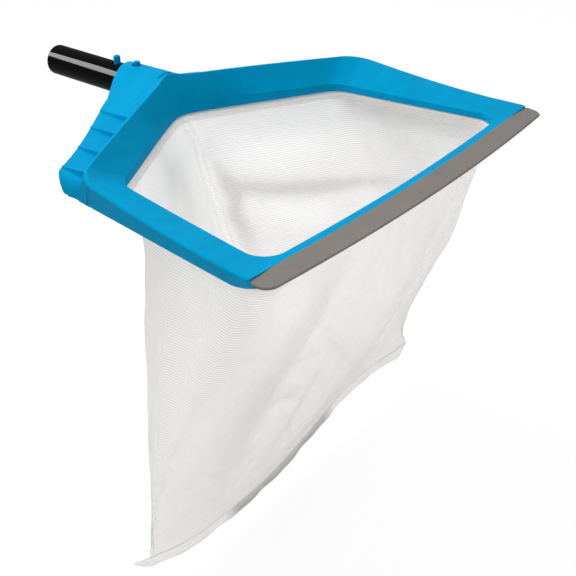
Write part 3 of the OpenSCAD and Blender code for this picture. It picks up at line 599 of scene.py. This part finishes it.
def glossy_coat(name, colour):
    """Glossy black coat on a drawn tube: long faint draw lines, slight orange peel and a little dust."""
    n = material(name)
    draw = n.noise(n.place((1400, 14, 1400)), 1.0, 2.0, 0.5)
    peel = n.noise(n.place(), 260.0, 2.0, 0.4)
    dust = n.noise(n.place(), 900.0, 4.0, 0.7)
    base = n.ramp(dust, [(0.55, colour), (0.8, shade(colour, 1.7))])
    bump = n.bump(peel, 0.05, 0.0002, n.bump(draw, 0.04, 0.00005))
    return n.done(n.add("BsdfPrincipled", {
        "Base Color": base, "Roughness": n.span(draw, 0.35, 0.7, 0.05, 0.09),
        "IOR": 1.5, "Specular IOR Level": 0.3, "Normal": bump}))


def turned_steel(name, colour):
    """Plain steel: fine turning lines and a slightly uneven shine."""
    n = material(name)
    lines = n.noise(n.place((3000, 3000, 500)), 1.0, 2.0, 0.5)
    stain = n.noise(n.place(), 500.0, 3.0, 0.6)
    base = n.ramp(stain, [(0.3, shade(colour, 0.9)), (0.7, colour)])
    return n.done(n.add("BsdfPrincipled", {
        "Base Color": base, "Metallic": 1.0, "Roughness": n.span(lines, 0.3, 0.7, 0.24, 0.36),
        "Normal": n.bump(lines, 0.12, 0.00005)}))


def net_knit(name, colour, see_through):
    """Fine knitted net on the Cloth map, in metres.

    Rows run parallel to the mouth, chains zigzag down the cloth, and a small hole is left between every two.
    An attribute on the net makes it more open and lighter in places, or denser and darker in colour, as
    painted light and shade of the folds, and along the frame's side bars it is held double."""
    n = material(name)
    cloth, across, down = n.on_cloth()
    drift = n.noise(cloth, 14.0, 3.0, 0.5)
    slack = n.noise(cloth, 60.0, 2.0, 0.5)
    turn = 2 * math.pi
    row_at = n.math("MULTIPLY_ADD", down, turn / bag().row_pitch, n.math("MULTIPLY", drift, KNIT_DRIFT))
    rows = n.math("POWER", n.wave(row_at), 0.45)
    zigzag = n.math("MULTIPLY", n.math("SINE", n.math("MULTIPLY", row_at, 0.5)), KNIT_ZIGZAG)
    wales = n.wave(n.math("MULTIPLY_ADD", across, turn / bag().wale_pitch, zigzag))
    thread = n.math("MAXIMUM", rows, n.math("MULTIPLY", wales, 0.6))
    plain_edge = n.span(down, 0.006, 0.016, 0.0, 1.0)
    patches = n.span(n.noise(cloth, 22.0, 3.0, 0.6), 0.35, 0.65, 0.35, 1.0)
    contrast = n.math("MULTIPLY", n.math("MULTIPLY", patches, plain_edge), KNIT_CONTRAST)
    beside = n.math("ABSOLUTE", across)
    past_back = n.span(beside, 0.148, 0.168, 0.0, 1.0)
    side_bar = n.math("MULTIPLY", past_back, n.span(beside, 0.31, 0.33, 1.0, 0.0))
    doubled = n.math("MULTIPLY", side_bar, n.span(down, 0.012, 0.034, 1.0, 0.0))
    # painted light and shade: how much more open or denser the knit is made at each point, placed to paint
    # the folds' light and dark patches
    pull_shade = n.add("Attribute", attribute_name="PullAndShade", result=2)
    hole = n.math("MULTIPLY_ADD", n.math("SUBTRACT", 0.6, thread), contrast, see_through)
    hole = n.math("MINIMUM", n.math("ADD", hole, pull_shade), KNIT_OPEN)
    hole = n.math("MULTIPLY", hole, n.math("MULTIPLY_ADD", doubled, DOUBLE_CLOSES, 1.0))
    tone = n.math("MULTIPLY_ADD", thread, 0.55, n.math("MULTIPLY", slack, 0.45))
    base = n.ramp(tone, [(0.2, shade(colour, 0.88)), (0.5, shade(colour, 0.95)), (0.8, colour)])
    # painted shade: the base colour darkened where the knit is made denser
    gathered_shade = n.span(pull_shade, -0.4, 0.1, 0.9, 1.0)
    base = n.add("VectorMath", {0: base, "Scale": gathered_shade}, operation="SCALE")
    glow = n.math("MULTIPLY_ADD", doubled, DOUBLE_DULLS, KNIT_GLOW)
    return n.porous(hole, glow, base, n.bump(thread, 0.5, 0.0004), n.span(slack, 0.3, 0.7, 0.62, 0.8), 0.15)


def woven_tape(name, colour):
    """Woven tape on the Cloth map, in metres: warp and weft floats in a chequer, and two dense edges."""
    n = material(name)
    cloth, across, down = n.on_cloth()
    turn = 2 * math.pi / TAPE_PITCH
    warp = n.math("SINE", n.math("MULTIPLY", across, turn))
    weft = n.math("SINE", n.math("MULTIPLY", down, turn))
    weave = n.math("MULTIPLY_ADD", n.math("MULTIPLY", warp, weft), 0.5, 0.5)
    slub = n.noise(cloth, 240.0, 3.0, 0.6)
    tone = n.math("MULTIPLY_ADD", weave, 0.5, n.math("MULTIPLY", slub, 0.5))
    base = n.ramp(tone, [(0.2, shade(colour, 0.86)), (0.75, colour)])
    beside = n.math("COSINE", n.math("MULTIPLY", across, 2 * math.pi / (TAPE_WIDE * MM)))
    dense = n.span(beside, 0.2, 0.9, 0.0, 1.0)
    hole = n.math("MULTIPLY", n.span(weave, 0.2, 0.6, 0.9, 0.8), n.math("MULTIPLY_ADD", dense, -0.7, 1.0))
    return n.porous(hole, 0.3, base, n.bump(weave, 0.4, 0.0002), n.span(slub, 0.3, 0.7, 0.66, 0.8), 0.2)


def moulded_copy(node, material, body, name):
    """A copy of a node's mesh that stands for it: its triangles joined up, its curved faces shaded smooth."""
    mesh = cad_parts[node].data.copy()
    mesh.name = name
    thing = bpy.data.objects.new(name, mesh)
    bpy.context.scene.collection.objects.link(thing)
    mesh.materials.clear()
    mesh.materials.append(material)
    work = bmesh.new()
    work.from_mesh(mesh)
    bmesh.ops.remove_doubles(work, verts=work.verts, dist=0.01 * MM)
    work.to_mesh(mesh)
    work.free()
    for stale in ("custom_normal", "sharp_edge", "sharp_face"):
        if stale in mesh.attributes:
            mesh.attributes.remove(mesh.attributes[stale])
    mesh.polygons.foreach_set("use_smooth", np.ones(len(mesh.polygons), bool))
    mesh.set_sharp_from_angle(angle=finish().smooth_angle)
    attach(thing, body)
    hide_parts(node)
    return thing


# ---------------------------------------------------------------- camera, floor and light
# The camera: its place in mm from the mouth's back point, the way it backs off, its sensor and lens in mm
CAMERA_AT = np.array([600.9, 604.8, 336.9])
CAMERA_BACK = np.array([0.667, 0.528, 0.526])
SENSOR, FOCAL = 36.0, 61.44
# The floor's height, under the bag's lowest point, and its half width, in metres
FLOOR_Z, FLOOR_REACH = -0.372, 6.0
# The world's light is brighter along this direction
BRIGHT_SIDE = (-0.3, -0.95, 0.0)
# Name, place, aim, side of the square, watts, and whether diffuse and glossy rays see it, in the row frame
LAMPS = (
    ("Top softbox", (0.2, -0.3, 0.9), (0.0, 0.2, 0.0), 0.7, 7.0, (True, False)),
    ("Rear strip", (0.56, -0.78, 0.6), (0.0, 0.06, 0.0), 0.44, 5.6, (False, True)),
    ("Low rear panel", (-0.3, -0.5, -0.24), (0.0, 0.3, -0.15), 0.5, 1.6, (True, False)),
)


# ---------------------------------------------------------------- operators
class LEAFNET_OT_camera(bpy.types.Operator):
    """Put the camera out past the lip's +X end, looking back and down across the mouth"""

    bl_idname = "leafnet.camera"
    bl_label = "Camera"

    def execute(self, context):
        back = CAMERA_BACK / np.linalg.norm(CAMERA_BACK)
        right = np.cross([0, 0, 1], back)
        right /= np.linalg.norm(right)
        turned = np.eye(4)
        turned[:3, :3] = np.stack([right, np.cross(back, right), back], 1)
        turned[:3, 3] = CAMERA_AT * MM + MOUTH * MM
        lens = bpy.data.cameras.new("Camera")
        lens.sensor_width, lens.lens = SENSOR, FOCAL
        lens.clip_start, lens.clip_end = 0.01, 50.0
        eye = bpy.data.objects.new("Camera", lens)
        context.scene.collection.objects.link(eye)
        eye.matrix_world = mathutils.Matrix(turned.tolist())
        context.scene.camera = eye
        return {"FINISHED"}


class LEAFNET_OT_stage(bpy.types.Operator):
    """Lay the pale floor and hang the soft lamps"""

    bl_idname = "leafnet.stage"
    bl_label = "Stage"

    def execute(self, context):
        context.scene.view_settings.view_transform = "Standard"
        self.lay_floor(context.scene)
        self.light_world(context.scene)
        for settings in LAMPS:
            self.hang_lamp(context.scene, *settings)
        return {"FINISHED"}

    def lay_floor(self, scene):
        """A flat square that the camera sees nearly white, and that lights the net like pale paper."""
        n = material("Pale floor")
        bare = n.add("BsdfDiffuse", {"Color": (0.7, 0.7, 0.7, 1)})
        dull = n.add("BsdfDiffuse", {"Color": (0.15, 0.15, 0.15, 1)})
        lit = n.add("MixShader", {0: n.add("LightPath", result="Is Glossy Ray"), 1: bare, 2: dull})
        shaded = n.add("AddShader", {
            0: n.add("BsdfDiffuse", {"Color": (0.2, 0.2, 0.2, 1)}),
            1: n.add("Emission", {"Color": WHITE, "Strength": 0.84})})
        paint = n.done(n.add("MixShader", {0: n.add("LightPath", result="Is Camera Ray"), 1: lit, 2: shaded}))
        mesh = bpy.data.meshes.new("Floor")
        signs = ((-1, -1), (1, -1), (1, 1), (-1, 1))
        corners = [(x * FLOOR_REACH, y * FLOOR_REACH, FLOOR_Z) for x, y in signs]
        mesh.from_pydata(corners, [], [(0, 1, 2, 3)])
        mesh.materials.append(paint)
        floor = bpy.data.objects.new("Floor", mesh)
        scene.collection.objects.link(floor)

    def light_world(self, scene):
        """Soft light from all round: brighter on one side, dim in reflections and white to the camera."""
        world = bpy.data.worlds.new("Studio")
        scene.world = world
        n = Nodes(world, "ShaderNodeOutputWorld")
        look = n.add("TexCoord", result="Generated")
        away = n.add("VectorMath", {0: look, 1: BRIGHT_SIDE}, result="Value", operation="DOT_PRODUCT")
        level = n.span(away, -0.9, 0.9, 0.48, 0.96, interpolation_type="SMOOTHSTEP")
        dim = n.math("MULTIPLY_ADD", n.add("LightPath", result="Is Glossy Ray"), -0.9, 1.0)
        seen = n.math("MAXIMUM", n.add("LightPath", result="Is Camera Ray"), n.math("MULTIPLY", dim, level))
        n.done(n.add("Background", {"Color": WHITE, "Strength": seen}))

    def hang_lamp(self, scene, name, at, to, side, watts, seen_by):
        """A square lamp at a place, turned to face another."""
        lamp = bpy.data.lights.new(name, "AREA")
        lamp.shape, lamp.size, lamp.size_y, lamp.energy = "RECTANGLE", side, side, watts
        thing = bpy.data.objects.new(name, lamp)
        thing.location = at
        aim = mathutils.Vector(to) - mathutils.Vector(at)
        thing.rotation_mode = "QUATERNION"
        thing.rotation_quaternion = aim.to_track_quat("-Z", "Y")
        thing.visible_diffuse, thing.visible_glossy = seen_by
        thing.visible_transmission = seen_by[0]
        scene.collection.objects.link(thing)


class LEAFNET_OT_frame(bpy.types.Operator):
    """Finish the moulded frame, the clamp ring under it and its screws"""

    bl_idname = "leafnet.frame"
    bl_label = "Frame"

    def execute(self, context):
        c = colours()
        blue = moulded("Blue moulding", c.plastic)
        for node, name in (("rim_frame", "moulded_frame"), ("clamp_ring", "moulded_clamp_ring")):
            moulded_copy(node, blue, HEAD, name)
        screws = moulded_copy("ring_screws", turned_steel("Screw steel", c.screw), HEAD, "steel_screws")
        return {"FINISHED"}


class LEAFNET_OT_lip(bpy.types.Operator):
    """Finish the soft scraper lip"""

    bl_idname = "leafnet.lip"
    bl_label = "Scraper Lip"

    def execute(self, context):
        lip = moulded_copy("scraper_lip", soft_rubber("Grey rubber", colours().lip), HEAD, "soft_lip")
        return {"FINISHED"}


class LEAFNET_OT_handle(bpy.types.Operator):
    """Finish the tube stub and the snap clip inside it"""

    bl_idname = "leafnet.handle"
    bl_label = "Tube and Clip"

    def execute(self, context):
        c = colours()
        tube = moulded_copy("handle_tube", glossy_coat("Black coat", c.tube), HEAD, "coated_tube")
        clip = moulded("Clip moulding", c.clip, rough=0.34)
        pieces = (
            ("clip_bend", HEAD, "snap_bend"),
            ("top_button_arm", "top_arm", "upper_snap_arm"),
            ("bottom_button_arm", "bottom_arm", "lower_snap_arm"),
        )
        for node, body, name in pieces:
            moulded_copy(node, clip, body, name)
        return {"FINISHED"}


class LEAFNET_OT_bag(bpy.types.Operator):
    """Hang the net bag from the mouth"""

    bl_idname = "leafnet.bag"
    bl_label = "Net Bag"

    def execute(self, context):
        grid, loop, s, t = bag_grid(BAG_COLS, BAG_ROWS)
        uv = cloth_map(round_lengths(grid), drop_lengths(grid))
        cloth = surface("net_bag", grid, uv, net_knit("Net knit", colours().cloth, see_through=0.37))
        # painted light and shade: how much more open or denser each point of the net is made, to paint the
        # folds' light and dark patches
        pull_and_shade = cloth.data.attributes.new("PullAndShade", "FLOAT", "POINT")
        pull_and_shade.data.foreach_set("value", along_lines(s, t, loop, PULLS_AND_PAINTED_SHADE).astype(np.float32).ravel())
        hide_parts("bag_front", "bag_left_side", "bag_right_side", "bag_back_left", "bag_back_right")
        return {"FINISHED"}


class LEAFNET_OT_seams(bpy.types.Operator):
    """Sew the tape over the back seam, the fin under the bottom seam, the hem and its cord"""

    bl_idname = "leafnet.seams"
    bl_label = "Seams and Hem"

    def execute(self, context):
        tape = woven_tape("Woven tape", colours().hem)
        net = net_knit("Folded net", colours().cloth, see_through=0.4)
        self.back_tape(tape)
        self.bottom_fin(net)
        self.hem(net)
        self.cord(tape)
        return {"FINISHED"}

    def back_tape(self, paint):
        """A flat oval profile carried down the bag's middle back column, just inside the cloth."""
        rows, around, thick, inside = 150, 20, 0.7, 0.9
        grid = bag_grid(121, rows)[0]
        face = outward(grid)
        inner = grid - face * inside
        path = inner[:, 0]
        over = inner[:, 3] - inner[:, -3]
        over /= np.linalg.norm(over, axis=1, keepdims=True)
        a = np.linspace(0, 2 * np.pi, around, endpoint=False)
        px = TAPE_WIDE / 2 * power(np.cos(a), 0.5)
        pz = thick / 2 * power(np.sin(a), 0.7)
        row = np.arange(rows)
        ends = np.clip(np.minimum(row, rows - 1 - row) / 3 + 0.02, 0, 1)[:, None]
        wave = 0.25 * np.sin(np.linspace(0, 46, rows))[:, None]
        tube = (path[:, None] + over[:, None] * (px * ends + wave)[..., None]
                + face[:, :1] * (pz * ends - thick / 2)[..., None])
        run = run_of(path)
        uv = cloth_map(np.linspace(0, 2 * TAPE_WIDE, around + 1)[None], run[:, None])
        band = surface("back_seam_band", tube, uv, paint)
        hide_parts("back_seam_tape")

    def bottom_fin(self, paint):
        """A flat oval profile carried along the bottom stitching, hanging below it, wavy at its free edge."""
        b = bag()
        n, around, deep, thick = 220, 26, b.fin / MM, 1.5
        ear_long, ear_thin = 18, 0.04
        t = np.linspace(0, 1, n)
        top = seam_line(t)
        ear = np.clip(np.minimum(t, 1 - t) * b.seam_width / MM / ear_long, 0, 1)
        ends = (ear_thin + (1 - ear_thin) * ear**0.8)[:, None]
        a = np.linspace(0, 2 * np.pi, around, endpoint=False)
        py = thick / 2 * power(np.cos(a), 0.8)
        low = (1 - power(np.sin(a), 0.5)) / 2
        x = top[:, :1]
        wave = (0.9 * np.sin(x / 11.0) + 0.5 * np.sin(x / 5.3 + 1)) * 0.8
        fin = np.empty((n, around, 3))
        fin[..., 0] = x
        fin[..., 1] = top[:, 1:2] + py * ends + wave * low
        fin[..., 2] = top[:, 2:] + thick * ends - (deep + thick) * low * ends
        run = run_of(top)
        uv = cloth_map(run[:, None], np.linspace(0, 2 * deep, around + 1)[None])
        piece = surface("bottom_seam_fin", fin, uv, paint)
        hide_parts("bottom_seam_tape")

    def hem(self, paint):
        """A strip round the mouth, flat between frame and clamp ring, that turns down inside the bag."""
        outs = np.array([8.0, 6.0, 4.0, 2.0, 0.6, -0.6, -1.5, -1.9, -2.1, -2.2, -2.3])
        downs = np.array([-0.4, -0.4, -0.4, -0.4, -0.4, -0.45, -0.9, -2.2, -4.0, -5.8, -7.2])
        loop = mouth_loop(BAG_COLS)[1]
        plan = np.stack([mouth_loop(BAG_COLS, out)[0] for out in outs])
        level = np.broadcast_to(downs[:, None, None], plan.shape[:2] + (1,))
        grid = np.concatenate([plan, level], 2)
        run = run_of(np.stack([outs, downs], 1))
        uv = cloth_map(np.linspace(0, loop, grid.shape[1] + 1)[None], run[:, None])
        strip = surface("turned_hem", grid, uv, paint)
        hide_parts("bag_hem")

    def cord(self, paint):
        """A round profile carried round behind the mouth's wall, rippling like a twist of three strands."""
        r, wall, gap, twists = 1.7, 2.6, 0.5, 90
        plan, loop = mouth_loop(601, wall + gap + r)
        n, around = len(plan), 12
        ahead = np.roll(plan, -1, 0) - np.roll(plan, 1, 0)
        side = np.stack([ahead[:, 1], -ahead[:, 0]], 1)
        side /= np.linalg.norm(side, axis=1, keepdims=True)
        a = np.linspace(0, 2 * np.pi, around, endpoint=False)[None]
        s = np.linspace(0, 1, n, endpoint=False)[:, None]
        rad = r * (0.95 + 0.05 * np.cos(3 * a + 2 * np.pi * twists * s))
        ring = np.empty((n, around, 3))
        ring[..., :2] = plan[:, None] + side[:, None] * (rad * np.cos(a))[..., None]
        ring[..., 2] = r + 0.05 + rad * np.sin(a)
        uv = cloth_map(np.linspace(0, loop, n + 1)[:, None], np.linspace(0, 2 * np.pi * r, around + 1)[None])
        rope = surface("hem_rope", ring, uv, paint, round_rows=True)
        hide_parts("hem_cord")


class LEAFNET_PT_panel(bpy.types.Panel):
    """Lists the net's sizes, colours and pieces."""

    bl_idname = "LEAFNET_PT_panel"
    bl_label = "Leaf Net"
    bl_space_type = "VIEW_3D"
    bl_region_type = "UI"
    bl_category = "Leaf Net"

    def draw(self, context):
        layout = self.layout
        for group in (bag(), colours(), finish()):
            part = layout.box()
            for key in group.bl_rna.properties.keys():
                if key not in ("rna_type", "name"):
                    part.prop(group, key)
        for step in OPERATORS:
            layout.operator(step.bl_idname)


GROUPS = (LeafNetBag, LeafNetColours, LeafNetFinish)
OPERATORS = (LEAFNET_OT_camera, LEAFNET_OT_frame, LEAFNET_OT_lip, LEAFNET_OT_handle, LEAFNET_OT_bag,
             LEAFNET_OT_seams, LEAFNET_OT_stage)
CLASSES = GROUPS + OPERATORS + (LEAFNET_PT_panel,)


def register():
    for cls in CLASSES:
        bpy.utils.register_class(cls)
    bpy.types.Scene.leafnet_bag = bpy.props.PointerProperty(type=LeafNetBag)
    bpy.types.Scene.leafnet_colours = bpy.props.PointerProperty(type=LeafNetColours)
    bpy.types.Scene.leafnet_finish = bpy.props.PointerProperty(type=LeafNetFinish)


def unregister():
    for name in ("leafnet_finish", "leafnet_colours", "leafnet_bag"):
        delattr(bpy.types.Scene, name)
    for cls in reversed(CLASSES):
        bpy.utils.unregister_class(cls)


def main():
    register()
    bpy.ops.leafnet.camera()
    bpy.ops.leafnet.frame()
    bpy.ops.leafnet.lip()
    bpy.ops.leafnet.handle()
    bpy.ops.leafnet.bag()
    bpy.ops.leafnet.seams()
    bpy.ops.leafnet.stage()


if __name__ == "__main__":
    main()
